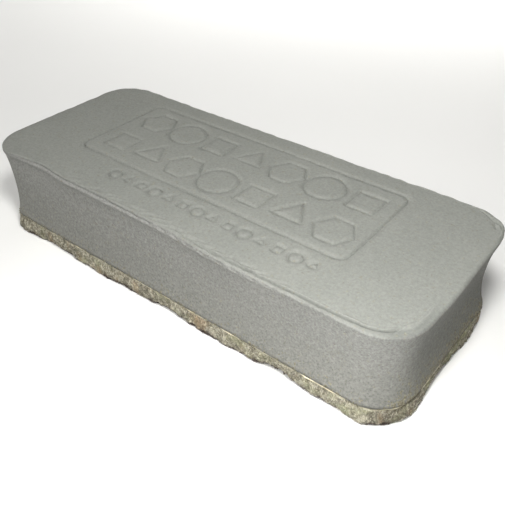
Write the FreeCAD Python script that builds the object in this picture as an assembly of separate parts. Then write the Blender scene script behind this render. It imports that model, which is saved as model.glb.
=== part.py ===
"""Whiteboard eraser: a die-cut foam grip block with a pile-fabric wiping pad glued under it.

The eraser lies along X with +Z up. The origin is the middle of the wiping face, so the
tips of the pile are at Z = 0 and the foam's top is at Z = PILE_HEIGHT + CLOTH_THICKNESS
+ ADHESIVE_THICKNESS + FOAM_HEIGHT. Every size is in millimetres.
"""
import FreeCAD, Part
import math
import os
from FreeCAD import Vector

# Overall block
LENGTH = 127.0
WIDTH = 52.0
CORNER_RADIUS = 10.2

# Layers, from the wiping face up
PILE_HEIGHT = 3.9
CLOTH_THICKNESS = 0.7
ADHESIVE_THICKNESS = 0.3
FOAM_HEIGHT = 20.1

# How far each layer's edge lies inside the block's outline
CLOTH_INSET = 0.15
ADHESIVE_INSET = 0.5

# The foam's wall is hollow, as a cutting die leaves it, with a sharp foot and a soft rim
FOOT_INSET = 0.15
WAIST_DEPTH = 1.55
RIM_RADIUS = 0.9

# Pressed crease that runs round the top, just inside the rim
CREASE_INSET = 2.0
CREASE_HALF_WIDTH = 0.45
CREASE_DEPTH = 0.4

# Pressed emblem: a plain frame round two rows of outlined shapes, and a strip of small ones
STROKE_WIDTH = 0.8
STROKE_DEPTH = 0.35
FRAME_CENTRE = Vector(-1.0, 4.9, 0)
FRAME_LENGTH = 84.0
FRAME_WIDTH = 31.4
FRAME_RADIUS = 3.0
SHAPE_RADIUS = 5.7
SHAPE_PITCH = 11.3
SHAPES_PER_ROW = 7
SHAPE_ROWS = (7.0, -7.0)
SHAPE_SIDES = (6, 0, 4, 3)
STRIP_CENTRE = Vector(6.5, -15.2, 0)
STRIP_RADIUS = 2.1
STRIP_PITCH = 4.6
STRIP_COUNT = 14
STRIP_SIDES = (0, 3, 4)

UP = Vector(0, 0, 1)
ORIGIN = Vector(0, 0, 0)


def save(shape, node):
    """Writes one sub-part's STEP file and prints what it holds."""
    shape.exportStep(os.path.join("parts", node + ".step"))
    print(f"{node}: {shape.Volume:.1f} mm3, solids {len(shape.Solids)}, valid {shape.isValid()}")


def rounded_plate(length, width, radius, thickness, centre):
    """A flat plate with rounded corners, whose underside is centred on a point."""
    corner = Vector(centre.x - length / 2, centre.y - width / 2, centre.z)
    box = Part.makeBox(length, width, thickness, corner)
    upright = [edge for edge in box.Edges if abs(edge.tangentAt(edge.FirstParameter).z) > 0.9]
    return box.makeFillet(radius, upright)


def layer(inset, bottom, thickness):
    """One flat layer of the pad, drawn in from the block's outline."""
    return rounded_plate(
        LENGTH - 2 * inset,
        WIDTH - 2 * inset,
        CORNER_RADIUS - inset,
        thickness,
        Vector(0, 0, bottom),
    )


def wall_section():
    """Half section of a corner, from its turning axis out to the wall, in the XZ plane."""
    crease_radius = CORNER_RADIUS - CREASE_INSET
    rim_centre_x = CORNER_RADIUS - RIM_RADIUS
    rim_centre_z = FOAM_HEIGHT - RIM_RADIUS
    diagonal = RIM_RADIUS * math.sin(math.pi / 4)

    foot = Vector(CORNER_RADIUS - FOOT_INSET, 0, 0)
    waist = Vector(CORNER_RADIUS - WAIST_DEPTH, 0, rim_centre_z / 2)
    rim_start = Vector(CORNER_RADIUS, 0, rim_centre_z)
    rim_middle = Vector(rim_centre_x + diagonal, 0, rim_centre_z + diagonal)
    rim_end = Vector(rim_centre_x, 0, FOAM_HEIGHT)
    crease_outer = Vector(crease_radius + CREASE_HALF_WIDTH, 0, FOAM_HEIGHT)
    crease_floor = Vector(crease_radius, 0, FOAM_HEIGHT - CREASE_DEPTH)
    crease_inner = Vector(crease_radius - CREASE_HALF_WIDTH, 0, FOAM_HEIGHT)
    axis_top = Vector(0, 0, FOAM_HEIGHT)

    outline = [
        Part.LineSegment(ORIGIN, foot),
        Part.Arc(foot, waist, rim_start),
        Part.Arc(rim_start, rim_middle, rim_end),
        Part.LineSegment(rim_end, crease_outer),
        Part.Arc(crease_outer, crease_floor, crease_inner),
        Part.LineSegment(crease_inner, axis_top),
        Part.LineSegment(axis_top, ORIGIN),
    ]
    return Part.Face(Part.Wire([curve.toShape() for curve in outline]))


def foam_blank():
    """The foam before its emblem, standing on Z = 0: a core, four sides and four corners."""
    straight_x = LENGTH - 2 * CORNER_RADIUS
    straight_y = WIDTH - 2 * CORNER_RADIUS
    core_corner = Vector(-straight_x / 2, -straight_y / 2, 0)
    core = Part.makeBox(straight_x, straight_y, FOAM_HEIGHT, core_corner)

    # Each quarter is a turned corner and the straight side that leads back from it
    quarters = (
        (0, straight_x / 2, straight_y / 2, straight_y),
        (90, -straight_x / 2, straight_y / 2, straight_x),
        (180, -straight_x / 2, -straight_y / 2, straight_y),
        (270, straight_x / 2, -straight_y / 2, straight_x),
    )
    pieces = []
    for turn, corner_x, corner_y, side_length in quarters:
        corner = wall_section().revolve(ORIGIN, UP, 90)
        side = wall_section().extrude(Vector(0, -side_length, 0))
        for piece in (corner, side):
            piece.rotate(ORIGIN, UP, turn)
            piece.translate(Vector(corner_x, corner_y, 0))
            pieces.append(piece)
    return core.multiFuse(pieces).removeSplitter()


def disc(radius, centre):
    """A round cutter as deep as a pressed stroke."""
    return Part.makeCylinder(radius, STROKE_DEPTH, centre, UP)


def prism(sides, radius, centre):
    """A regular cutter with one flat side towards -Y; zero sides means a round one."""
    if sides == 0:
        return disc(radius, centre)
    first = -math.pi / 2 + math.pi / sides
    angles = [first + 2 * math.pi * step / sides for step in range(sides + 1)]
    corners = [centre + Vector(radius * math.cos(a), radius * math.sin(a), 0) for a in angles]
    return Part.Face(Part.makePolygon(corners)).extrude(UP * STROKE_DEPTH)


def outline_cutter(sides, radius, centre):
    """The outline of a regular shape, one stroke wide."""
    flat_share = 1.0 if sides == 0 else math.cos(math.pi / sides)
    inner_radius = radius - STROKE_WIDTH / flat_share
    return prism(sides, radius, centre).cut(prism(sides, inner_radius, centre))


def frame_cutter(bottom):
    """The rounded frame round the shapes, one stroke wide."""
    centre = FRAME_CENTRE + Vector(0, 0, bottom)
    outer = rounded_plate(FRAME_LENGTH, FRAME_WIDTH, FRAME_RADIUS, STROKE_DEPTH, centre)
    inner = rounded_plate(
        FRAME_LENGTH - 2 * STROKE_WIDTH,
        FRAME_WIDTH - 2 * STROKE_WIDTH,
        FRAME_RADIUS - STROKE_WIDTH,
        STROKE_DEPTH,
        centre,
    )
    return outer.cut(inner)


def shape_cutters(bottom):
    """Both rows of outlined shapes; the second row starts two shapes further on."""
    cutters = []
    for row, offset_y in enumerate(SHAPE_ROWS):
        for column in range(SHAPES_PER_ROW):
            sides = SHAPE_SIDES[(column + 2 * row) % len(SHAPE_SIDES)]
            offset_x = (column - (SHAPES_PER_ROW - 1) / 2) * SHAPE_PITCH
            centre = FRAME_CENTRE + Vector(offset_x, offset_y, bottom)
            cutters.append(outline_cutter(sides, SHAPE_RADIUS, centre))
    return cutters


def strip_cutters(bottom):
    """The strip of small outlined shapes along the front."""
    cutters = []
    for index in range(STRIP_COUNT):
        offset_x = (index - (STRIP_COUNT - 1) / 2) * STRIP_PITCH
        centre = STRIP_CENTRE + Vector(offset_x, 0, bottom)
        cutters.append(outline_cutter(STRIP_SIDES[index % len(STRIP_SIDES)], STRIP_RADIUS, centre))
    return cutters


def foam_block(bottom):
    """The grip: the foam with its emblem pressed into the top."""
    floor = FOAM_HEIGHT - STROKE_DEPTH
    cutters = [frame_cutter(floor)] + shape_cutters(floor) + strip_cutters(floor)
    block = foam_blank().cut(cutters)
    block.translate(UP * bottom)
    return block.Solids[0]


def main():
    os.makedirs("parts", exist_ok=True)
    adhesive_bottom = PILE_HEIGHT + CLOTH_THICKNESS
    foam_bottom = adhesive_bottom + ADHESIVE_THICKNESS
    save(layer(0, 0, PILE_HEIGHT), "pad_pile")
    save(layer(CLOTH_INSET, PILE_HEIGHT, CLOTH_THICKNESS), "pad_ground_cloth")
    save(layer(ADHESIVE_INSET, adhesive_bottom, ADHESIVE_THICKNESS), "adhesive_film")
    save(foam_block(foam_bottom), "foam_block")
    print(f"block {LENGTH} x {WIDTH} x {foam_bottom + FOAM_HEIGHT:.1f} mm")


main()
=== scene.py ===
"""The looks of the whiteboard eraser: foam grip, glue line, ground cloth and worn pile.

Shapes are worked out in millimetres in the CAD's own frame and scaled to metres when a mesh
is made. The block's length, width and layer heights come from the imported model's boxes, and
every random draw has a fixed seed.
"""
import math

import bpy
import numpy as np
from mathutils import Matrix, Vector, noise
from mathutils.geometry import delaunay_2d_cdt


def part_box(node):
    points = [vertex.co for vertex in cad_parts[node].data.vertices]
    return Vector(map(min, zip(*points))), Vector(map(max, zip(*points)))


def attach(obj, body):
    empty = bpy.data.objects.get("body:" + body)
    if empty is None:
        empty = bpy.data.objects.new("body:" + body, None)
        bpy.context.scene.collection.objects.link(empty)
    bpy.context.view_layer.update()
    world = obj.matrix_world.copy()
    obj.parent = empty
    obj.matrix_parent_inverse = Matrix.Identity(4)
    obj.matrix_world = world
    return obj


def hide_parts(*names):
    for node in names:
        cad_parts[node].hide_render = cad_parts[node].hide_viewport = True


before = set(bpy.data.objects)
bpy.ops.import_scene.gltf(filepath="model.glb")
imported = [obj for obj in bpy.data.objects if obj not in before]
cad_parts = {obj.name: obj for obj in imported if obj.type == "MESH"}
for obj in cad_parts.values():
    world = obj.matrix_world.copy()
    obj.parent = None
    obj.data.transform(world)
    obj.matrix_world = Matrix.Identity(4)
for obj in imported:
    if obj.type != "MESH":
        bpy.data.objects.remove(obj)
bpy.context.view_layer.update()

MM = 0.001

# ---------------------------------------------------------------- sizes, in millimetres

foam_low, foam_high = (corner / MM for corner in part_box("foam_block"))
glue_low, glue_high = (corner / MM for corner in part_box("adhesive_film"))
cloth_low, cloth_high = (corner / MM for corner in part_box("pad_ground_cloth"))
pile_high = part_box("pad_pile")[1] / MM

HALF_X = foam_high.x
HALF_Y = foam_high.y
FOAM_BOTTOM = foam_low.z
FOAM_TOP = foam_high.z
CORNER_RADIUS = 10.2
FOOT_INSET = 0.15
WAIST_DEPTH = 1.5
OUTLINE_STEP = 0.32

# Rings up the wall, which lie closer together in its top part
WALL_RINGS = 25
EAVES_RINGS = 18
EAVES_SHARE = 0.88

# The rim and the pressed crease just inside it
RIM_RADIUS = 0.5
ROLL_REACH = 1.6
ROLL_SLOPE = 0.5
CREASE_WIDTH = 0.24
CREASE_DEPTH = 0.75
CREASE_REACH = 3.2
CREASE_RINGS = 26
PANEL_MARGIN = 0.7
WRINKLE_SLANT = 0.42
WRINKLE_PITCH = 1.9
WRINKLE_HEIGHT = 0.22

# The pressed emblem: a plain frame, two rows of outlined shapes and a strip of small ones
STROKE_WIDTH = 0.8
STROKE_DEPTH = 0.58
FRAME_CENTRE = np.array([-1.0, 4.9])
FRAME_SIZE = np.array([84.0, 31.4])
FRAME_RADIUS = 3.0
SHAPE_RADIUS = 5.7
SHAPE_PITCH = 11.3
SHAPES_PER_ROW = 7
SHAPE_ROWS = (7.0, -7.0)
SHAPE_SIDES = (6, 0, 4, 3)
STRIP_CENTRE = np.array([6.5, -15.2])
STRIP_RADIUS = 2.1
STRIP_PITCH = 4.6
STRIP_COUNT = 14
STRIP_SIDES = (0, 3, 4)
STROKE_GUIDES = (-0.48, -0.32, -0.16, 0.0, 0.16, 0.32, 0.48)
STROKE_CLEARANCE = 0.35
PANEL_SPACING = 1.1

# The matted edge of the pile: its worn foot has wide lobes, bites between them, and one
# large lobe at the right end
PILE_HEAD = 4.45
LOBE_PITCH = 11
LOBE_STAND = 0.65
BITE_PITCH = 6
BITE_DEPTH = 0.9
END_LOBE_STAND = 1.1
MATTED_RINGS = 17
MATTED_FIBRES = 19000
FUZZ_FIBRES = 1100

# The glue, the cloth and the pile all stop a little short of the block's outline, and the
# cloth's rounded edge reaches this deep before its flat faces start
PAD_INSET = 0.42
CLOTH_EDGE_DEPTH = 1.2

# Light and camera
BLOCK_MIDDLE = Vector((0, 0, FOAM_TOP / 2))
WIDE_LAMP_DISTANCE = 1000
WIDE_LAMP_SIZE = 600
NEAR_LAMP_SIZE = 40
NEAR_LAMP_FOOT = Vector((HALF_X + 3, -HALF_Y - 33, 0))
BACKDROP_CENTRE = Vector((-170, 470, 0))
BACKDROP_LAMP_HEIGHT = 420
FLOOR_SIZE = 3000
CAMERA_PLACE = Vector((90.1, -103.9, 106.8))
CAMERA_AZIMUTH = 38.23
CAMERA_ELEVATION = 37.38
CAMERA_LENS = 45.6


# ---------------------------------------------------------------- small helpers

def smooth_step(low, high, values):
    """0 below low, 1 above high, with a smooth climb between."""
    share = np.clip((np.asarray(values, float) - low) / (high - low), 0.0, 1.0)
    return share * share * (3.0 - 2.0 * share)


def wander(points, scale, seed):
    """Smooth noise from about -1 to 1 at 2-D or 3-D points, with bumps about scale apart."""
    points = np.atleast_2d(np.asarray(points, float)) / scale
    shift = np.array([13.7, 5.3, 9.1]) * (seed + 0.37)
    full = np.zeros((len(points), 3))
    full[:, : points.shape[1]] = points
    return np.array([noise.noise(Vector(point)) for point in full + shift]) * 1.6


def make_piece(name, points, faces, material, nodes=(), attributes=None):
    """A smooth-shaded mesh piece from points in millimetres, riding on the one body."""
    mesh = bpy.data.meshes.new(name)
    mesh.from_pydata([tuple(point) for point in np.asarray(points) * MM], [], faces)
    mesh.validate()
    for key, values in (attributes or {}).items():
        layer = mesh.attributes.new(key, "FLOAT", "POINT")
        layer.data.foreach_set("value", np.asarray(values, np.float32))
    mesh.shade_smooth()
    mesh.materials.append(material)
    piece = bpy.data.objects.new(name, mesh)
    bpy.context.scene.collection.objects.link(piece)
    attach(piece, "root")
    if nodes:
        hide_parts(*nodes)
    return piece


def block_outline(step):
    """Points round the block's plan, anticlockwise from the front left, and their normals."""
    straight_x, straight_y = HALF_X - CORNER_RADIUS, HALF_Y - CORNER_RADIUS
    arc_count = max(4, round(CORNER_RADIUS * math.pi / 2 / step))
    points, normals = [], []
    corners = (
        (straight_x, -straight_y, -90, 2 * straight_x),
        (straight_x, straight_y, 0, 2 * straight_y),
        (-straight_x, straight_y, 90, 2 * straight_x),
        (-straight_x, -straight_y, 180, 2 * straight_y),
    )
    for centre_x, centre_y, first_angle, run in corners:
        centre = np.array([centre_x, centre_y])
        first = math.radians(first_angle)
        normal = np.array([math.cos(first), math.sin(first)])
        along = np.array([-normal[1], normal[0]])
        run_count = max(2, round(run / step))
        for index in range(run_count):
            back = run * (1 - index / run_count)
            points.append(centre + normal * CORNER_RADIUS - along * back)
            normals.append(normal)
        for index in range(arc_count):
            angle = first + math.pi / 2 * index / arc_count
            normal = np.array([math.cos(angle), math.sin(angle)])
            points.append(centre + normal * CORNER_RADIUS)
            normals.append(normal)
    return np.array(points), np.array(normals)


def loft_faces(ring_count, ring_size, first=0):
    """Quads between closed rings that are stored one after another."""
    faces = []
    for ring in range(ring_count - 1):
        low = first + ring * ring_size
        high = low + ring_size
        for index in range(ring_size):
            after = (index + 1) % ring_size
            faces.append((low + index, low + after, high + after, high + index))
    return faces


def fill_flat(boundary, inner, first_boundary, first_inner, flip=False):
    """Triangles that fill a closed plan outline through inner points.

    The two first numbers say where each group of points starts in the piece's own list.
    """
    count = len(boundary)
    points = [Vector(point) for point in boundary] + [Vector(point) for point in inner]
    edges = [(index, (index + 1) % count) for index in range(count)]
    _, _, faces, sources, _, _ = delaunay_2d_cdt(points, edges, [], 1, 1e-7)
    number = [source[0] if source else None for source in sources]

    def place(index):
        source = number[index]
        return first_boundary + source if source < count else first_inner + source - count

    order = -1 if flip else 1
    return [tuple(place(index) for index in face)[::order] for face in faces]


def hex_points(spacing, inset, seed, jitter=0.25):
    """Jittered points on a triangular grid inside the block's plan."""
    draw = np.random.default_rng(seed)
    rows = np.arange(-HALF_Y, HALF_Y, spacing * 0.866)
    points = []
    for row, y in enumerate(rows):
        shift = spacing / 2 * (row % 2)
        points += [(x + shift, y) for x in np.arange(-HALF_X, HALF_X, spacing)]
    points = np.array(points) + draw.uniform(-jitter, jitter, (len(points), 2)) * spacing
    return points[inside_depth(points) > inset]


def inside_depth(points):
    """How far each plan point lies inside the block's outline; negative is outside."""
    reach = np.abs(points) - np.array([HALF_X, HALF_Y]) + CORNER_RADIUS
    outside = np.linalg.norm(np.clip(reach, 0, None), axis=1)
    return CORNER_RADIUS - outside - np.clip(reach.max(axis=1), None, 0)


def at_height(plan, height):
    """Plan points lifted to one height or to one height each."""
    return np.concatenate([plan, np.broadcast_to(height, len(plan))[:, None]], axis=1)


# ---------------------------------------------------------------- material helpers

class Nodes:
    """A material's node tree, with one short call for each kind of node."""

    def __init__(self, name):
        self.material = bpy.data.materials.new(name)
        self.material.use_nodes = True
        self.tree = self.material.node_tree
        self.shader = self.tree.nodes["Principled BSDF"]
        self.place = self.add("ShaderNodeTexCoord").outputs["Object"]

    def add(self, kind, **settings):
        """Adds one node with its settings."""
        node = self.tree.nodes.new(kind)
        for key, value in settings.items():
            setattr(node, key, value)
        return node

    def link(self, source, target):
        """Joins an output socket to an input socket."""
        self.tree.links.new(source, target)

    def constants(self, **values):
        """Sets shader sockets that are the same all over the surface."""
        for key, value in values.items():
            self.shader.inputs[key.replace("_", " ")].default_value = value

    def noise(self, size_mm, detail=2.0, roughness=0.5, stretch=(1, 1, 1)):
        """Noise whose bumps are about size_mm apart."""
        source = self.place
        if stretch != (1, 1, 1):
            mapping = self.add("ShaderNodeMapping")
            mapping.inputs["Scale"].default_value = stretch
            self.link(source, mapping.inputs["Vector"])
            source = mapping.outputs["Vector"]
        node = self.add("ShaderNodeTexNoise")
        node.inputs["Scale"].default_value = 1.0 / (size_mm * MM)
        node.inputs["Detail"].default_value = detail
        node.inputs["Roughness"].default_value = roughness
        self.link(source, node.inputs["Vector"])
        return node.outputs["Fac"]

    def cells(self, size_mm):
        """Distance to the nearest cell centre, with cells about size_mm across."""
        node = self.add("ShaderNodeTexVoronoi")
        node.inputs["Scale"].default_value = 1.0 / (size_mm * MM)
        self.link(self.place, node.inputs["Vector"])
        return node.outputs["Distance"]

    def attribute(self, name):
        """One of the values that the piece's mesh carries at its points."""
        return self.add("ShaderNodeAttribute", attribute_name=name).outputs["Fac"]

    def span(self, source, low, high, new_low=0.0, new_high=1.0):
        """Maps low..high to new_low..new_high, with the ends held."""
        node = self.add("ShaderNodeMapRange")
        ends = {"From Min": low, "From Max": high, "To Min": new_low, "To Max": new_high}
        for key, value in ends.items():
            node.inputs[key].default_value = value
        self.link(source, node.inputs["Value"])
        return node.outputs["Result"]

    def math(self, operation, first, second):
        """One arithmetic operation on two grey values."""
        node = self.add("ShaderNodeMath", operation=operation)
        self.link(first, node.inputs[0])
        self.link(second, node.inputs[1])
        return node.outputs["Value"]

    def mix(self, share, first, second):
        """Mixes two colours; each is a link or an (r, g, b)."""
        node = self.add("ShaderNodeMix", data_type="RGBA")
        sockets = [socket for socket in node.inputs if socket.type == "RGBA"]
        for value, target in zip((first, second), sockets):
            if isinstance(value, tuple):
                target.default_value = (*value, 1.0)
            else:
                self.link(value, target)
        self.link(share, node.inputs[0])
        return [socket for socket in node.outputs if socket.type == "RGBA"][0]

    def blend(self, share, first, second):
        """Mixes two grey values."""
        node = self.add("ShaderNodeMix", data_type="FLOAT")
        for value, target in ((share, 0), (first, 2), (second, 3)):
            self.link(value, node.inputs[target])
        return node.outputs[0]

    def scale_colour(self, colour, factor):
        """A colour times a grey factor."""
        node = self.add("ShaderNodeVectorMath", operation="SCALE")
        self.link(colour, node.inputs[0])
        self.link(factor, node.inputs["Scale"])
        return node.outputs["Vector"]

    def bump(self, height, distance_mm, strength=1.0, under=None):
        """A normal raised by a grey height, on top of another normal where one is given."""
        node = self.add("ShaderNodeBump")
        node.inputs["Strength"].default_value = strength
        node.inputs["Distance"].default_value = distance_mm * MM
        self.link(height, node.inputs["Height"])
        if under is not None:
            self.link(under, node.inputs["Normal"])
        return node.outputs["Normal"]


# ---------------------------------------------------------------- materials

def foam_material():
    """Fine-celled grey foam: a smooth moulded skin on top, open cut cells on the walls."""
    m = Nodes("grey_foam")
    skin = m.attribute("skin")
    clouds = m.span(m.noise(19, 3), 0.35, 0.65)
    top_tone = m.mix(clouds, (0.194, 0.2005, 0.1845), (0.206, 0.212, 0.1945))
    # Painted shade: the band round the rolled front right corner and the rim leading to it are darker
    top_tone = m.mix(m.attribute("worn"), top_tone, (0.160, 0.166, 0.153))
    wall_tone = m.mix(clouds, (0.201, 0.203, 0.192), (0.212, 0.213, 0.201))
    # Painted shade: the wall tone darkens towards the foot and round the right end
    wall_tone = m.mix(m.attribute("painted_shade"), wall_tone, (0.156, 0.157, 0.143))
    tone = m.mix(skin, wall_tone, top_tone)
    flecks = m.span(m.noise(0.8, 3, 0.7), 0.35, 0.65, -0.6, 0.6)
    soil = m.span(m.math("ADD", m.attribute("soil"), flecks), 0.45, 0.75, 0.0, 0.8)
    soil_tone = m.mix(m.span(m.noise(0.5, 3, 0.7), 0.4, 0.6), (0.10, 0.085, 0.05), (0.27, 0.25, 0.17))
    tone = m.mix(soil, tone, soil_tone)

    grain = m.span(m.noise(0.6, 4, 0.75), 0.3, 0.7, 0.72, 1.28)
    pits = m.span(m.cells(0.5), 0.0, 0.5, 0.80, 1.08)
    cut = m.math("MULTIPLY", grain, pits)
    fine = m.span(m.noise(0.6, 4, 0.75), 0.3, 0.7, 0.85, 1.15)
    speckle = m.blend(skin, cut, fine)
    m.link(m.scale_colour(tone, speckle), m.shader.inputs["Base Color"])

    wall_bump = m.bump(pits, 0.09, 0.9, m.bump(m.noise(0.45, 4, 0.75), 0.14, 0.8))
    skin_bump = m.bump(m.noise(0.5, 4, 0.75), 0.07, 0.6, m.bump(m.noise(2.4, 2), 0.07, 0.6))
    normal = m.add("ShaderNodeMix", data_type="VECTOR")
    m.link(skin, normal.inputs[0])
    m.link(wall_bump, normal.inputs[4])
    m.link(skin_bump, normal.inputs[5])
    m.link(normal.outputs[1], m.shader.inputs["Normal"])
    m.link(m.span(m.noise(7, 3), 0.3, 0.7, 0.78, 0.92), m.shader.inputs["Roughness"])
    m.constants(Specular_IOR_Level=0.2)
    return m.material


def glue_material():
    """Aged hot-melt glue, cream with amber patches and a dull gloss."""
    m = Nodes("aged_glue")
    colour = m.mix(m.span(m.noise(3.0, 3), 0.35, 0.65), (0.50, 0.45, 0.30), (0.62, 0.58, 0.44))
    m.link(colour, m.shader.inputs["Base Color"])
    m.link(m.span(m.noise(1.2, 2), 0.3, 0.7, 0.35, 0.6), m.shader.inputs["Roughness"])
    m.link(m.bump(m.noise(0.6, 3), 0.08, 0.8), m.shader.inputs["Normal"])
    return m.material


def cloth_material():
    """Pale woven ground cloth with yarn-scale weave and faint stains."""
    m = Nodes("ground_cloth")
    colour = m.mix(m.span(m.noise(5.0, 3), 0.35, 0.65), (0.34, 0.32, 0.24), (0.46, 0.44, 0.34))
    weave = m.math(
        "MULTIPLY",
        m.span(m.noise(0.5, 1, stretch=(1, 1, 0.1)), 0.3, 0.7, 0.8, 1.1),
        m.span(m.noise(0.22, 2), 0.3, 0.7, 0.85, 1.1),
    )
    m.link(m.scale_colour(colour, weave), m.shader.inputs["Base Color"])
    m.link(m.bump(m.noise(0.3, 3), 0.1, 0.9), m.shader.inputs["Normal"])
    m.constants(Roughness=0.95, Specular_IOR_Level=0.2, Sheen_Weight=0.2, Sheen_Roughness=0.5)
    return m.material


def pile_material():
    """Worn pile: cream, tan, olive and rust fibres, dark with marker residue at the tips."""
    m = Nodes("worn_pile")
    colour = m.mix(m.attribute("tone"), (0.150, 0.135, 0.095), (0.59, 0.56, 0.45))
    olive = m.span(m.noise(5.5, 2), 0.5, 0.66, 0.0, 0.55)
    colour = m.mix(olive, colour, (0.33, 0.34, 0.20))
    rust = m.span(m.noise(4.1, 2, stretch=(1.0, 1.0, 0.4)), 0.57, 0.72, 0.0, 0.45)
    colour = m.mix(rust, colour, (0.43, 0.30, 0.175))
    ragged = m.math("ADD", m.attribute("reach"), m.span(m.noise(3.0, 3), 0.35, 0.65, -0.2, 0.15))
    dark = m.span(ragged, 0.70, 0.88, 0.0, 0.95)
    colour = m.mix(dark, colour, (0.045, 0.026, 0.021))
    fleck = m.span(m.noise(0.55, 3, 0.7, (1.0, 1.0, 0.5)), 0.3, 0.7, 0.6, 1.4)
    m.link(m.scale_colour(colour, fleck), m.shader.inputs["Base Color"])
    m.link(m.bump(m.noise(0.16, 3), 0.06, 0.9), m.shader.inputs["Normal"])
    m.constants(Roughness=0.95, Specular_IOR_Level=0.15, Sheen_Weight=0.2, Sheen_Roughness=0.4)
    return m.material


def floor_material():
    """Plain pale paper."""
    m = Nodes("pale_floor")
    colour = m.mix(m.span(m.noise(180, 2), 0.3, 0.7), (0.84, 0.84, 0.83), (0.87, 0.87, 0.86))
    m.link(colour, m.shader.inputs["Base Color"])
    m.constants(Roughness=0.9, Specular_IOR_Level=0.1)
    return m.material


# ---------------------------------------------------------------- the pressed emblem

def regular_loop(centre, sides, radius):
    """A closed loop of points round a regular shape; zero sides means a round one."""
    corner_count = sides or max(16, round(2 * math.pi * radius / 0.75))
    first = -math.pi / 2 + math.pi / corner_count
    angles = first + np.arange(corner_count) * 2 * math.pi / corner_count
    corners = centre + radius * np.stack([np.cos(angles), np.sin(angles)], axis=1)
    return subdivide(corners, 0.55) if sides else corners


def outline_loop(centre, sides, radius, offset):
    """A regular shape's stroke as a loop, offset outwards from the stroke's middle."""
    flat_share = math.cos(math.pi / sides) if sides else 1.0
    return regular_loop(centre, sides, radius + (offset - STROKE_WIDTH / 2) / flat_share)


def subdivide(corners, spacing):
    """A closed polygon's points with more added along its sides."""
    points = []
    for start, end in zip(corners, np.roll(corners, -1, axis=0)):
        count = max(1, round(float(np.linalg.norm(end - start)) / spacing))
        points += [start + (end - start) * step / count for step in range(count)]
    return np.array(points)


def frame_loop(offset):
    """The emblem's frame, offset outwards from the middle of its stroke."""
    half = FRAME_SIZE / 2 - STROKE_WIDTH / 2
    radius = FRAME_RADIUS - STROKE_WIDTH / 2
    points = []
    for quarter in range(4):
        sign_x = 1 if quarter in (0, 3) else -1
        sign_y = 1 if quarter < 2 else -1
        centre = FRAME_CENTRE + (half - radius) * np.array([sign_x, sign_y])
        for step in range(7):
            angle = math.pi / 2 * (quarter + step / 6)
            points.append(centre + (radius + offset) * np.array([math.cos(angle), math.sin(angle)]))
    return subdivide(np.array(points), 0.6)


def emblem_loops(offset):
    """Every stroke of the emblem as a closed loop, offset outwards from its middle."""
    loops = [frame_loop(offset)]
    for row, offset_y in enumerate(SHAPE_ROWS):
        for column in range(SHAPES_PER_ROW):
            sides = SHAPE_SIDES[(column + 2 * row) % len(SHAPE_SIDES)]
            offset_x = (column - (SHAPES_PER_ROW - 1) / 2) * SHAPE_PITCH
            loops.append(outline_loop(FRAME_CENTRE + (offset_x, offset_y), sides, SHAPE_RADIUS, offset))
    for index in range(STRIP_COUNT):
        sides = STRIP_SIDES[index % len(STRIP_SIDES)]
        offset_x = (index - (STRIP_COUNT - 1) / 2) * STRIP_PITCH
        loops.append(outline_loop(STRIP_CENTRE + (offset_x, 0), sides, STRIP_RADIUS, offset))
    return loops


def stroke_distance(points):
    """Distance from each plan point to the middle of the nearest stroke."""
    starts, ends = [], []
    for loop in emblem_loops(0.0):
        starts.append(loop)
        ends.append(np.roll(loop, -1, axis=0))
    starts, ends = np.concatenate(starts), np.concatenate(ends)
    runs = ends - starts
    squares = np.maximum((runs ** 2).sum(axis=1), 1e-9)
    best = np.empty(len(points))
    for first in range(0, len(points), 2000):
        chunk = points[first : first + 2000, None, :] - starts[None]
        share = np.clip((chunk * runs).sum(axis=2) / squares, 0, 1)
        gap = np.linalg.norm(chunk - share[..., None] * runs, axis=2)
        best[first : first + 2000] = gap.min(axis=1)
    return best


# ---------------------------------------------------------------- the foam

def side_share(plan, normals):
    """How much each outline point belongs to the right end, the back and the left end."""
    right = smooth_step(0.55, 0.95, normals[:, 0])
    left = smooth_step(0.55, 0.95, -normals[:, 0])
    back = smooth_step(0.55, 0.95, normals[:, 1])
    return right, back, left


def corner_share(normals, sign_x, sign_y):
    """How much each outline point belongs to one corner, named by the signs of its place."""
    toward_x = smooth_step(0.25, 0.65, sign_x * normals[:, 0])
    return toward_x * smooth_step(0.2, 0.55, sign_y * normals[:, 1])


def top_relief(points):
    """The gentle unevenness of the whole top, in height."""
    return 0.09 * wander(points, 24, 1) + 0.035 * wander(points, 7, 2) + 0.012 * wander(points, 2.2, 3)


def front_share(normals):
    """How much each outline point belongs to the front."""
    return smooth_step(0.1, 0.6, -normals[:, 1])


def crease_course(plan, normals):
    """How deep the pressed crease is, how far inside the rim it runs, and how wrinkled it is.

    It is crisp at the front right, faint at the back and left, and gone from the front's left
    half. It runs out round the rolled right end.
    """
    _, back, left = side_share(plan, normals)
    front = front_share(normals)
    far_corner = corner_share(normals, 1, 1)
    x = plan[:, 0]
    depth = 1.4 * smooth_step(-4, 44, x) * front
    depth += 0.45 * far_corner + 0.22 * back + 0.25 * left
    depth *= (1 - smooth_step(0.6, 0.85, normals[:, 0])) * (1 + 0.2 * wander(plan, 9, 5))
    place = 1.1 + 0.6 * smooth_step(46, 58, x)
    place = place + 0.3 * far_corner + 0.05 * wander(plan, 12, 6) + 0.05 * wander(plan, 3, 8)
    wrinkles = 1.3 * smooth_step(-42, 4, x) * (1 - 0.9 * smooth_step(26, 38, x)) * front
    wrinkles += 0.7 * far_corner
    return np.clip(depth, 0.03, 1.3), place, wrinkles


def tuck_depth(plan, normals):
    """How deep the crease is where it runs along the wall, just under the rim."""
    x = plan[:, 0]
    depth = 0.45 * smooth_step(-52, -42, x) * (1 - smooth_step(-20, 14, x))
    return depth * front_share(normals)


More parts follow.
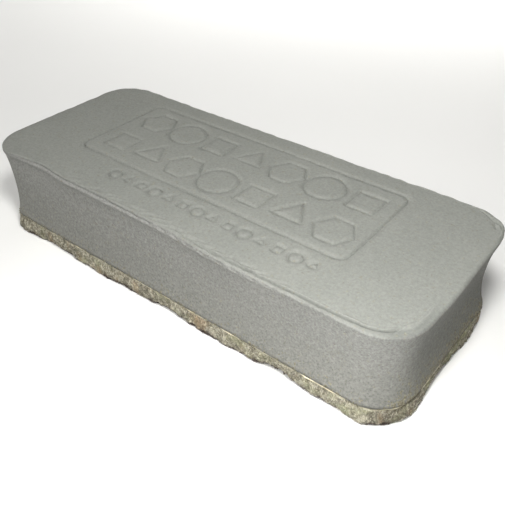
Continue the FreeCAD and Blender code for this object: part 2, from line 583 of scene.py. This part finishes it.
def roll_share(plan, normals):
    """How much the top rolls down towards the edge: only round the front right corner."""
    return smooth_step(0.4, 0.8, normals[:, 0]) * (1 - smooth_step(-18, -8, plan[:, 1]))


def rim_radius(plan, normals):
    """The rounding of the top edge: tight at the front, fuller at the back."""
    right, back, left = side_share(plan, normals)
    radius = RIM_RADIUS + 0.2 * right + 0.25 * left + 0.6 * back
    return radius * (1 + 0.3 * wander(plan, 2.5, 4))


def front_setback(x):
    """How far the left two thirds of the front rim are drawn in, with a dent near the left end."""
    drawn_in = 1.25 * smooth_step(-60, -48, x) * (1 - smooth_step(0, 18, x))
    return drawn_in + 0.9 * np.exp(-(((x + 42) / 6) ** 2))


def overhang(plan, normals):
    """How far the rim stands out beyond the block's plan; where it is drawn in, less than zero."""
    back = smooth_step(0.1, 0.8, normals[:, 1])
    beyond = back * (0.6 + 0.45 * smooth_step(0, 55, plan[:, 0]))
    drawn_in = front_setback(plan[:, 0]) * front_share(normals)
    return beyond - drawn_in - 0.6 * roll_share(plan, normals)


def wall_rings(plan, normals, rim, top):
    """Rings up the hollow wall, nearly straight at the front left and hollow elsewhere.

    The far right corner is undercut.
    """
    _, _, left = side_share(plan, normals)
    near_left, far_right = corner_share(normals, -1, -1), corner_share(normals, 1, 1)
    waist = WAIST_DEPTH - 0.7 * left - 0.85 * near_left
    foot = FOOT_INSET + 0.6 * near_left
    eaves, tuck = overhang(plan, normals), tuck_depth(plan, normals)
    bulge = 0.2 * front_share(normals) * (1 - smooth_step(24, 40, plan[:, 0]))
    wrinkles = crease_course(plan, normals)[2]
    run = np.arange(len(plan)) * OUTLINE_STEP
    rings = []
    low_shares = np.linspace(0, EAVES_SHARE, WALL_RINGS)
    high_shares = np.linspace(EAVES_SHARE, 1, EAVES_RINGS + 1)[1:]
    for share in np.concatenate([low_shares, high_shares]):
        height = FOAM_BOTTOM + (top - rim - FOAM_BOTTOM) * share
        inset = foot * (1 - share) + 4 * (waist + 0.9 * far_right * share ** 2) * share * (1 - share)
        below = top - height
        inset = inset - eaves * share ** np.where(eaves > 0, 5, 3)
        inset = inset + tuck * np.exp(-(((below - 0.75) / 0.28) ** 2))
        inset = inset - (bulge + 0.5 * tuck) * np.exp(-(((below - 1.35) / 0.6) ** 2))
        phase = (below - WRINKLE_SLANT * run) / WRINKLE_PITCH
        band = smooth_step(0.4, 0.7, below) * (1 - smooth_step(1.2, 1.8, below))
        inset = inset + 0.5 * WRINKLE_HEIGHT * wrinkles * band * np.sin(2 * math.pi * phase)
        ring = at_height(plan - normals * inset[:, None], height)
        lean = 0.16 * wander(ring, 34, 9) + 0.05 * wander(ring, 8, 10) + 0.02 * wander(ring, 2.0, 11)
        hold = smooth_step(FOAM_BOTTOM, FOAM_BOTTOM + 2.0, height)
        ring[:, :2] += normals * (lean * hold)[:, None]
        rings.append(ring)
    return rings


def roll_drop(inset, roll):
    """How far the rolled part of the top lies below the flat at a distance inside the edge."""
    return ROLL_SLOPE * roll * np.clip(ROLL_REACH - inset, 0, None)


def crease_rings(plan, normals, rim, top):
    """Rings across the top from the rim, over the bead and the crease, to the flat panel."""
    depth, place, wrinkles = crease_course(plan, normals)
    roll = roll_share(plan, normals)
    run = np.arange(len(plan)) * OUTLINE_STEP
    rings = []
    for share in np.linspace(0, 1, CREASE_RINGS + 1)[1:]:
        inset = rim + (CREASE_REACH - rim) * share
        spot = plan - normals * inset[:, None]
        groove = np.exp(-(((inset - place) / CREASE_WIDTH) ** 2))
        lip = np.exp(-(((inset - place - 0.45) / 0.18) ** 2))
        phase = (inset - WRINKLE_SLANT * run) / WRINKLE_PITCH + 0.3 * wander(spot, 2.5, 7)
        band = smooth_step(0.4, 0.7, inset) * (1 - smooth_step(1.8, 2.9, inset))
        patches = smooth_step(-0.8, -0.1, wander(spot, 3.4, 13))
        height = top - depth * CREASE_DEPTH * groove - roll_drop(inset, roll)
        height = height + 0.11 * np.maximum(depth, roll) * lip
        ripple = np.sin(2 * math.pi * phase) - 0.6
        height = height + WRINKLE_HEIGHT * wrinkles * band * patches * ripple
        rings.append(at_height(spot, height))
    return rings


def foam_rings(plan, normals):
    """Every ring of the foam's skin, with how much of the smooth top skin each one has."""
    top = FOAM_TOP + top_relief(plan)
    rim = rim_radius(plan, normals)
    edge = top - roll_drop(rim, roll_share(plan, normals))
    rings = wall_rings(plan, normals, rim, edge)
    skins = [0.0] * len(rings)
    plan = plan + normals * overhang(plan, normals)[:, None]
    shift = rings[-1][:, :2] - plan
    for angle in np.linspace(0, math.pi / 2, 8)[1:]:
        inset = rim * (1 - math.cos(angle))
        keep = math.cos(angle)
        rings.append(
            at_height(plan - normals * inset[:, None] + shift * keep, edge - rim * (1 - math.sin(angle)))
        )
        skins.append(min(1.0, math.sin(angle) * 1.2))
    across = crease_rings(plan, normals, rim, top)
    return rings + across, skins + [1.0] * len(across)


def right_end(points):
    """1 at the right end of the block, fading out round its corners."""
    return smooth_step(HALF_X - 6, HALF_X - 1, points[:, 0])


def foot_soil(points):
    """Pile dust rubbed into the foot of the walls, most of all at the right end."""
    height = points[:, 2] - FOAM_BOTTOM
    reach = 1.1 + 2.4 * right_end(points) + 0.8 * wander(points, 6, 14)
    return np.exp(-height / np.clip(reach, 0.4, None)) * (0.45 + 0.45 * right_end(points))


def wall_painted_shade(points):
    """Painted shade on the walls: darker towards the foot and round the right end."""
    low_down = 1 - smooth_step(0, 0.95 * (FOAM_TOP - FOAM_BOTTOM), points[:, 2] - FOAM_BOTTOM)
    return np.clip(0.8 * low_down + 0.5 * right_end(points) ** 3, 0, 1)


def rolled_corner_shade(points):
    """Painted shade on the band of the top round the rolled corner, and a darker rim that leads to it."""
    near_front = 1 - smooth_step(-18, -6, points[:, 1])
    depth = inside_depth(points[:, :2])
    corner = smooth_step(HALF_X - 9, HALF_X - 4, points[:, 0]) * (1 - smooth_step(1.7, 2.1, depth))
    rim = 0.6 * smooth_step(HALF_X - 32, HALF_X - 20, points[:, 0]) * (1 - smooth_step(0.6, 1.2, depth))
    on_top = smooth_step(FOAM_TOP - 1.2, FOAM_TOP - 0.6, points[:, 2])
    return near_front * np.maximum(corner, rim * on_top)


def build_foam():
    """The whole foam grip as one closed mesh, with its emblem pressed into the top."""
    plan, normals = block_outline(OUTLINE_STEP)
    rings, skins = foam_rings(plan, normals)
    count = len(plan)
    top_start = count * len(rings)

    panel_inset = CREASE_REACH + PANEL_MARGIN
    inner = hex_points(PANEL_SPACING, panel_inset, seed=21)
    inner = inner[inner[:, 1] + HALF_Y > panel_inset + front_setback(inner[:, 0])]
    inner = inner[stroke_distance(inner) > max(STROKE_GUIDES) + STROKE_CLEARANCE]
    guides = np.concatenate([loop for offset in STROKE_GUIDES for loop in emblem_loops(offset)])
    panel = np.concatenate([inner, guides])
    gap = stroke_distance(panel)
    press = STROKE_DEPTH * (0.85 + 0.3 * wander(panel, 18, 12))
    groove = 1 - smooth_step(0.0, max(STROKE_GUIDES), gap)
    top_points = at_height(panel, FOAM_TOP + top_relief(panel) - press * groove)

    base = hex_points(4.0, 1.5, seed=22)
    base_points = at_height(base, FOAM_BOTTOM)
    base_start = top_start + len(top_points)

    points = np.concatenate(rings + [top_points, base_points])
    faces = loft_faces(len(rings), count)
    faces += fill_flat(rings[-1][:, :2], panel, top_start - count, top_start)
    faces += fill_flat(rings[0][:, :2], base, 0, base_start, flip=True)
    skin = np.repeat(skins, count)
    skin = np.concatenate([skin, np.ones(len(top_points)), np.zeros(len(base_points))])
    foam = make_piece(
        "foam_grip",
        points,
        faces,
        foam_material(),
        ["foam_block"],
        {
            "skin": skin,
            "soil": foot_soil(points),
            # Painted shade, darker towards the walls' foot and round the right end
            "painted_shade": wall_painted_shade(points),
            # Painted shade on the rolled front right corner and the rim that leads to it
            "worn": rolled_corner_shade(points),
        },
    )


# ---------------------------------------------------------------- the glue and the ground cloth

def slab(name, rings, top_inner, base_inner, material, nodes, attributes=None):
    """A closed flat piece: rings up its edge, filled flat across the top and the underside."""
    count = len(rings[0])
    top_start = count * len(rings)
    base_start = top_start + len(top_inner)
    points = np.concatenate(rings + [top_inner, base_inner])
    faces = loft_faces(len(rings), count)
    faces += fill_flat(rings[-1][:, :2], top_inner[:, :2], top_start - count, top_start)
    faces += fill_flat(rings[0][:, :2], base_inner[:, :2], 0, base_start, flip=True)
    layers = {key: rule(points) for key, rule in (attributes or {}).items()}
    return make_piece(name, points, faces, material, nodes, layers)


def build_glue():
    """The uneven glue line, drawn back in places and squeezed out in others."""
    plan, normals = block_outline(0.5)
    inset = PAD_INSET + 0.30 * wander(plan, 6, 31) + 0.14 * wander(plan, 1.4, 32)
    inset += 0.5 * corner_share(normals, -1, -1)
    inset = np.clip(inset, -0.02, 1.3)
    rings = []
    for share in np.linspace(0, 1, 5):
        bulge = 0.10 * math.sin(math.pi * share)
        edge = plan - normals * (inset - bulge)[:, None]
        rings.append(at_height(edge, glue_low.z + (glue_high.z - glue_low.z) * share))
    inner = hex_points(4.0, 2.5, seed=33)
    return slab(
        "glue_line",
        rings,
        at_height(inner, glue_high.z),
        at_height(inner, glue_low.z),
        glue_material(),
        ["adhesive_film"],
    )


def cloth_edge(plan, normals):
    """The ground cloth's cut edge: how far in it lies and how far it curls up or down."""
    inset = PAD_INSET + 0.32 * wander(plan, 4.5, 41) + 0.12 * wander(plan, 0.9, 42)
    inset += 0.5 * corner_share(normals, -1, -1) + 0.4 * right_end(plan)
    curl = 0.10 * wander(plan, 7, 43) + 0.05 * wander(plan, 1.6, 44)
    return inset, curl


def build_cloth():
    """The woven ground cloth, cut a little unevenly, with yarn ends notching its edge."""
    plan, normals = block_outline(0.4)
    inset, curl = cloth_edge(plan, normals)
    thickness = cloth_high.z - cloth_low.z
    middle = (cloth_high.z + cloth_low.z) / 2
    rings = [at_height(plan - normals * (inset + CLOTH_EDGE_DEPTH)[:, None], cloth_low.z)]
    for angle in np.linspace(-math.pi / 2, math.pi / 2, 8):
        edge = plan - normals * (inset + thickness / 2 * (1 - math.cos(angle)))[:, None]
        rings.append(at_height(edge, middle + thickness / 2 * math.sin(angle) + curl))
    rings.append(at_height(plan - normals * (inset + CLOTH_EDGE_DEPTH)[:, None], cloth_high.z))
    inner = hex_points(3.0, 3.0, seed=45)
    return slab(
        "ground_cloth_sheet",
        rings,
        at_height(inner, cloth_high.z),
        at_height(inner, cloth_low.z),
        cloth_material(),
        ["pad_ground_cloth"],
    )


# ---------------------------------------------------------------- fibres and pile

def tube_bundle(paths, radii, sides):
    """Closed tapering tubes along many paths at once; paths is tubes x steps x 3."""
    tubes, steps, _ = paths.shape
    tangents = np.gradient(paths, axis=1)
    tangents /= np.linalg.norm(tangents, axis=2, keepdims=True)
    overall = np.abs(paths[:, -1] - paths[:, 0])
    reference = np.eye(3)[overall.argmin(axis=1)][:, None, :]
    first = np.cross(tangents, reference)
    first /= np.linalg.norm(first, axis=2, keepdims=True)
    second = np.cross(tangents, first)
    angles = np.arange(sides) * 2 * math.pi / sides
    spoke = (
        np.cos(angles)[None, None, :, None] * first[:, :, None]
        + np.sin(angles)[None, None, :, None] * second[:, :, None]
    )
    points = (paths[:, :, None] + radii[:, :, None, None] * spoke).reshape(-1, 3)

    starts = (np.arange(tubes) * steps * sides)[:, None]
    ring = (np.arange(steps - 1)[:, None] * sides + np.arange(sides)[None]).ravel()
    after = (np.arange(steps - 1)[:, None] * sides + (np.arange(sides) + 1)[None] % sides).ravel()
    quads = np.stack([starts + ring, starts + after, starts + after + sides, starts + ring + sides], axis=2)
    root_cap = starts + np.arange(sides)[::-1]
    tip_cap = starts + (steps - 1) * sides + np.arange(sides)
    faces = quads.reshape(-1, 4).tolist() + root_cap.tolist() + tip_cap.tolist()
    return points, faces


def depth_share(points):
    """How deep in the pile each point lies: 0 at the ground cloth, 1 at the wiping face."""
    return np.clip(1 - points[:, 2] / pile_high.z, 0, 1)


def fibre_piece(name, paths, radii, sides, tone, material):
    """A piece of many fibres; each vertex knows its fibre's tone and its depth in the pile."""
    tubes, steps, _ = paths.shape
    points, faces = tube_bundle(paths, radii, sides)
    tones = np.broadcast_to(tone[:, None, None], (tubes, steps, sides))
    layers = {"reach": depth_share(points), "tone": tones.ravel()}
    return make_piece(name, points, faces, material, (), layers)


def side_names(normals):
    """Which of the four sides of the block each outline point faces."""
    lengthwise = np.abs(normals[:, 0]) > math.sin(math.radians(45))
    ends = np.where(normals[:, 0] > 0, "right", "left")
    sides = np.where(normals[:, 1] > 0, "back", "front")
    return np.where(lengthwise, ends, sides)


def matted_edge(plan, normals):
    """The pile's matted outer face as rings from its worn foot up to the ground cloth."""
    right, _, _ = side_share(plan, normals)
    stand = LOBE_STAND * wander(plan, LOBE_PITCH, 51) + 0.15
    stand -= BITE_DEPTH * np.clip(wander(plan, BITE_PITCH, 53) - 0.3, 0, None)
    stand -= 0.1 * corner_share(normals, 1, -1) + 0.4 * corner_share(normals, -1, -1)
    stand += right * END_LOBE_STAND * np.exp(-(((plan[:, 1] - 0.35 * HALF_Y) / 4) ** 2))
    stand -= 1.1 * corner_share(normals, 1, 1)
    splay = stand + 0.17 * wander(plan, 2.3, 52)
    worn = 0.15 * np.abs(wander(plan, 4.0, 54)) - 0.5 * np.clip(stand, None, 0)
    foot = np.clip(worn, 0.03, None)
    head = PILE_HEAD + 0.15 * wander(plan, 3.0, 56)
    drawn_in = 0.5 * corner_share(normals, -1, -1)
    rings = []
    for share in np.linspace(0, 1, MATTED_RINGS):
        flare = splay * (1 - share) ** 1.2
        belly = 0.22 * math.sin(math.pi * share) ** 0.7
        round_foot = 0.35 * (1 - min(1.0, share / 0.12)) ** 2
        ring = at_height(plan, foot + (head - foot) * share)
        lumps = 0.14 * wander(ring, 1.7, 57) + 0.14 * wander(ring, 0.9, 58)
        inset = PAD_INSET + drawn_in - flare - belly + round_foot - lumps
        ring[:, :2] -= normals * inset[:, None]
        rings.append(ring)
    return rings


def build_pile_body(rings, plan, normals, material):
    """The matted pile as one dense body: its outer face, and a lumpy underside."""
    tuck = rings[0].copy()
    tuck[:, :2] -= normals * 0.9
    tuck[:, 2] += 0.28
    crown = at_height(plan - normals * 1.6, pile_high.z)
    base = hex_points(0.95, 2.6, seed=64)
    lumps = 0.55 + 0.12 * wander(base, 1.3, 65) + 0.10 * wander(base, 5, 66)
    top = hex_points(4.0, 3.0, seed=67)
    return slab(
        "pile_body",
        [tuck] + rings + [crown],
        at_height(top, pile_high.z),
        at_height(base, lumps),
        material,
        ["pad_pile"],
        {
            "reach": depth_share,
            "tone": lambda points: np.clip(
                0.32 + 0.3 * wander(points, 1.6, 68) - 0.25 * right_end(points), 0, 1
            ),
        },
    )


def on_matted_edge(rings, column, share):
    """Places on the matted face at a fractional outline position and height share."""
    grid = np.array(rings)
    count = grid.shape[1]
    whole = np.floor(column).astype(int)
    part = (column - whole)[..., None]
    row = np.clip(share, 0, 1) * (len(rings) - 1)
    low = np.minimum(row.astype(int), len(rings) - 2)
    lift = (row - low)[..., None]
    here, after = whole % count, (whole + 1) % count
    lower = grid[low, here] * (1 - part) + grid[low, after] * part
    upper = grid[low + 1, here] * (1 - part) + grid[low + 1, after] * part
    return lower * (1 - lift) + upper * lift


def matted_fibres(rings, normals, count, seed):
    """Short curled fibres that lie over the matted face, mostly upright."""
    draw = np.random.default_rng(seed)
    steps = 5
    column = draw.uniform(0, len(normals), count)
    share = draw.uniform(0.0, 1.0, count)
    length = draw.uniform(0.5, 1.2, count)
    heading = draw.normal(0, 0.55, count) + 0.5 * (draw.random(count) < 0.3) * draw.normal(0, 1.5, count)
    turn = draw.normal(0, 0.8, count)
    place = np.linspace(-0.5, 0.5, steps)
    angle = heading[:, None] + turn[:, None] * place
    stride = length[:, None] / (steps - 1)
    along = np.cumsum(np.sin(angle) * stride, axis=1)
    up = np.cumsum(np.cos(angle) * stride, axis=1)
    columns = column[:, None] + along / OUTLINE_STEP
    shares = np.clip(share[:, None] + (up - up.mean(axis=1, keepdims=True)) / PILE_HEAD, 0, 1)
    paths = on_matted_edge(rings, columns, shares)
    stand = 0.03 + draw.uniform(0.02, 0.20, count)[:, None] * np.cos(place * math.pi)
    loose = draw.random(count) < 0.12
    stand += loose[:, None] * draw.uniform(0.0, 0.22, count)[:, None] * (place + 0.5)
    outward = normals[np.floor(columns).astype(int) % len(normals)]
    paths[:, :, :2] += outward * stand[..., None]
    paths[:, :, 2] += np.linspace(0, 0.02, steps)
    paths[:, :, 2] = np.maximum(paths[:, :, 2], 0.1)
    radii = draw.uniform(0.045, 0.095, count)[:, None] * np.array([0.7, 1.0, 1.05, 1.0, 0.6])
    patch = 0.22 * wander(paths[:, 2], 2.4, 69) + 0.4 * wander(paths[:, 2], 0.75, 70)
    patch = patch - 0.3 * right_end(paths[:, 2]) - 0.15 * corner_share(outward[:, 2], 1, -1)
    tones = np.clip(0.48 + patch + draw.normal(0, 0.27, count), 0, 1)
    return paths, radii, tones, side_names(outward[:, 2])


def build_matted_fibres(rings, normals, material):
    """The fibres of the pile's edge, one piece for each side of the block."""
    paths, radii, tones, names = matted_fibres(rings, normals, MATTED_FIBRES, seed=61)
    pieces = []
    for side in ("front", "right", "back", "left"):
        mine = names == side
        piece = fibre_piece(
            "pile_edge_" + side, paths[mine], radii[mine], 3, tones[mine], material
        )
        pieces.append(piece)
    return pieces


def build_wiping_face(material):
    """The wiping face: short worn tufts, leaning together in patches."""
    draw = np.random.default_rng(71)
    root = hex_points(0.98, 1.5, seed=72, jitter=0.3)
    count = len(root)
    share = np.linspace(0, 1, 3)
    lean = np.stack([wander(root, 8, 73), wander(root, 8, 74)], axis=1) * 0.5
    lean += draw.normal(0, 0.16, (count, 2))
    tip = np.clip(0.05 + 0.12 * (1 + wander(root, 10, 75)) + draw.uniform(0, 0.12, count), 0.14, None)
    height = 1.1 + (tip - 1.1)[:, None] * share
    plan_path = root[:, None] + lean[:, None] * share[None, :, None]
    paths = np.concatenate([plan_path, height[..., None]], axis=2)
    radii = draw.uniform(0.28, 0.42, count)[:, None] * np.array([1.0, 1.0, 0.6])
    tones = np.clip(0.4 + 0.3 * wander(root, 6, 76) + draw.normal(0, 0.2, count), 0, 1)
    return fibre_piece("pile_wiping_face", paths, radii, 4, tones, material)


def build_fuzz(rings, normals, material):
    """Fine single fibres that stand out of the matted face."""
    draw = np.random.default_rng(81)
    count = FUZZ_FIBRES
    column = draw.uniform(0, len(normals), count)
    start = on_matted_edge(rings, column, draw.uniform(0.02, 0.95, count))
    normal = normals[np.floor(column).astype(int)]
    along = np.stack([-normal[:, 1], normal[:, 0]], axis=1)
    share = np.linspace(0, 1, 6)
    length = draw.uniform(0.4, 1.1, count)
    out = draw.uniform(0.15, 0.55, count) * length
    aside = draw.uniform(-0.8, 0.8, count) * length
    drop = draw.uniform(-0.7, 0.4, count) * length
    bend = draw.normal(0, 0.18, (count, 3))
    arc = np.sin(share * math.pi)
    plan_path = (
        start[:, None, :2]
        + normal[:, None] * (out[:, None] * share + bend[:, :1] * arc)[..., None]
        + along[:, None] * (aside[:, None] * share + bend[:, 1:2] * arc)[..., None]
    )
    height = start[:, None, 2] + drop[:, None] * share + bend[:, 2:] * arc
    paths = np.concatenate([plan_path, np.clip(height, 0.06, None)[..., None]], axis=2)
    radii = draw.uniform(0.02, 0.035, count)[:, None] * np.array([1, 1, 1, 0.9, 0.7, 0.4])
    tones = np.clip(draw.normal(0.7, 0.25, count), 0, 1)
    return fibre_piece("pile_fuzz", paths, radii, 3, tones, material)


def build_fray(material):
    """Cut yarn ends that stick out of the ground cloth's edge."""
    draw = np.random.default_rng(91)
    plan, normals = block_outline(0.42)
    keep = draw.random(len(plan)) < 0.62
    plan, normals = plan[keep], normals[keep]
    count = len(plan)
    inset, curl = cloth_edge(plan, normals)
    along = np.stack([-normals[:, 1], normals[:, 0]], axis=1)
    share = np.linspace(0, 1, 4)
    length = draw.uniform(0.15, 0.60, count) * (0.75 + 0.5 * wander(plan, 6, 92))
    length = np.clip(length, 0.1, 0.7)
    start = plan - normals * (inset + 0.25)[:, None]
    rise = draw.normal(0.1, 0.25, count) * length
    aside = draw.normal(0, 0.55, count) * length
    plan_path = (
        start[:, None]
        + normals[:, None] * ((0.25 + length)[:, None] * share)[..., None]
        + along[:, None] * (aside[:, None] * share ** 2)[..., None]
    )
    base = cloth_high.z - 0.13 - draw.uniform(0, 0.22, count) + curl
    height = base[:, None] + rise[:, None] * share ** 1.5
    paths = np.concatenate([plan_path, height[..., None]], axis=2)
    radii = draw.uniform(0.07, 0.13, count)[:, None] * np.array([1.0, 1.05, 1.0, 0.6])
    return fibre_piece("cloth_fray", paths, radii, 5, draw.random(count), material)


def build_pad():
    """The whole pad under the foam: the glue, the ground cloth, its fray and the pile on it."""
    build_glue()
    cloth = build_cloth()
    pile = pile_material()
    plan, normals = block_outline(OUTLINE_STEP)
    rings = matted_edge(plan, normals)
    on_cloth = [build_fray(cloth.data.materials[0]), build_pile_body(rings, plan, normals, pile)]
    on_cloth += build_matted_fibres(rings, normals, pile)
    on_cloth += [build_wiping_face(pile), build_fuzz(rings, normals, pile)]


# ---------------------------------------------------------------- light, floor and camera

def aim(thing, back):
    """Turns a camera or light so that it looks against the direction back."""
    thing.rotation_mode = "QUATERNION"
    thing.rotation_quaternion = back.to_track_quat("Z", "Y")


def direction(azimuth, elevation):
    """The unit vector towards an azimuth from the front and an elevation, in degrees."""
    turn, lift = math.radians(azimuth), math.radians(elevation)
    return Vector((math.sin(turn) * math.cos(lift), -math.cos(turn) * math.cos(lift), math.sin(lift)))


def soft_lamp(name, place, size, power, toward=BLOCK_MIDDLE, spread=180):
    """A round area light; places and sizes in millimetres, its cone in degrees."""
    data = bpy.data.lights.new(name, "AREA")
    data.shape = "DISK"
    data.size = size * MM
    data.energy = power
    data.color = (1.0, 0.995, 0.975)
    data.spread = math.radians(spread)
    lamp = bpy.data.objects.new(name, data)
    lamp.location = place * MM
    lamp.visible_camera = False
    aim(lamp, (place - toward).normalized())
    bpy.context.scene.collection.objects.link(lamp)


def build_stage():
    """The pale floor, the lamps and the even light of the room."""
    bpy.ops.mesh.primitive_plane_add(size=FLOOR_SIZE * MM)
    floor = bpy.context.object
    floor.name = "floor"
    floor.data.materials.append(floor_material())

    # Two wide lights for the whole set, and small ones near the front right corner, which
    # fall off along the block
    for name, azimuth, elevation, power in (("wide_left", -60, 30, 5.5), ("wide_back", 200, 20, 0.6)):
        place = BLOCK_MIDDLE + direction(azimuth, elevation) * WIDE_LAMP_DISTANCE
        soft_lamp(name, place, WIDE_LAMP_SIZE, power)
    near_lamps = (("near_high", 160, 0.262), ("near_middle", 75, 0.031), ("near_low", 45, 0.021))
    for name, height, power in near_lamps:
        soft_lamp(name, NEAR_LAMP_FOOT + Vector((0, 0, height)), NEAR_LAMP_SIZE, power)

    # One more brightens the floor behind the eraser, from straight above it
    above = BACKDROP_CENTRE + Vector((0, 0, BACKDROP_LAMP_HEIGHT))
    soft_lamp("backdrop", above, 450, 1.8, toward=BACKDROP_CENTRE, spread=86)

    world = bpy.data.worlds.new("studio")
    world.use_nodes = True
    room = world.node_tree.nodes["Background"]
    room.inputs["Color"].default_value = (1.0, 0.985, 0.96, 1.0)
    room.inputs["Strength"].default_value = 0.2
    bpy.context.scene.world = world
    bpy.context.scene.view_settings.view_transform = "Standard"


def build_camera():
    """A close camera beyond the front right corner, looking down and back across the block."""
    data = bpy.data.cameras.new("camera")
    data.sensor_width = 36.0
    data.lens = CAMERA_LENS
    data.clip_start = 0.005
    camera = bpy.data.objects.new("camera", data)
    camera.location = CAMERA_PLACE * MM
    aim(camera, direction(CAMERA_AZIMUTH, CAMERA_ELEVATION))
    bpy.context.scene.collection.objects.link(camera)
    bpy.context.scene.camera = camera


build_stage()
build_camera()
build_foam()
build_pad()
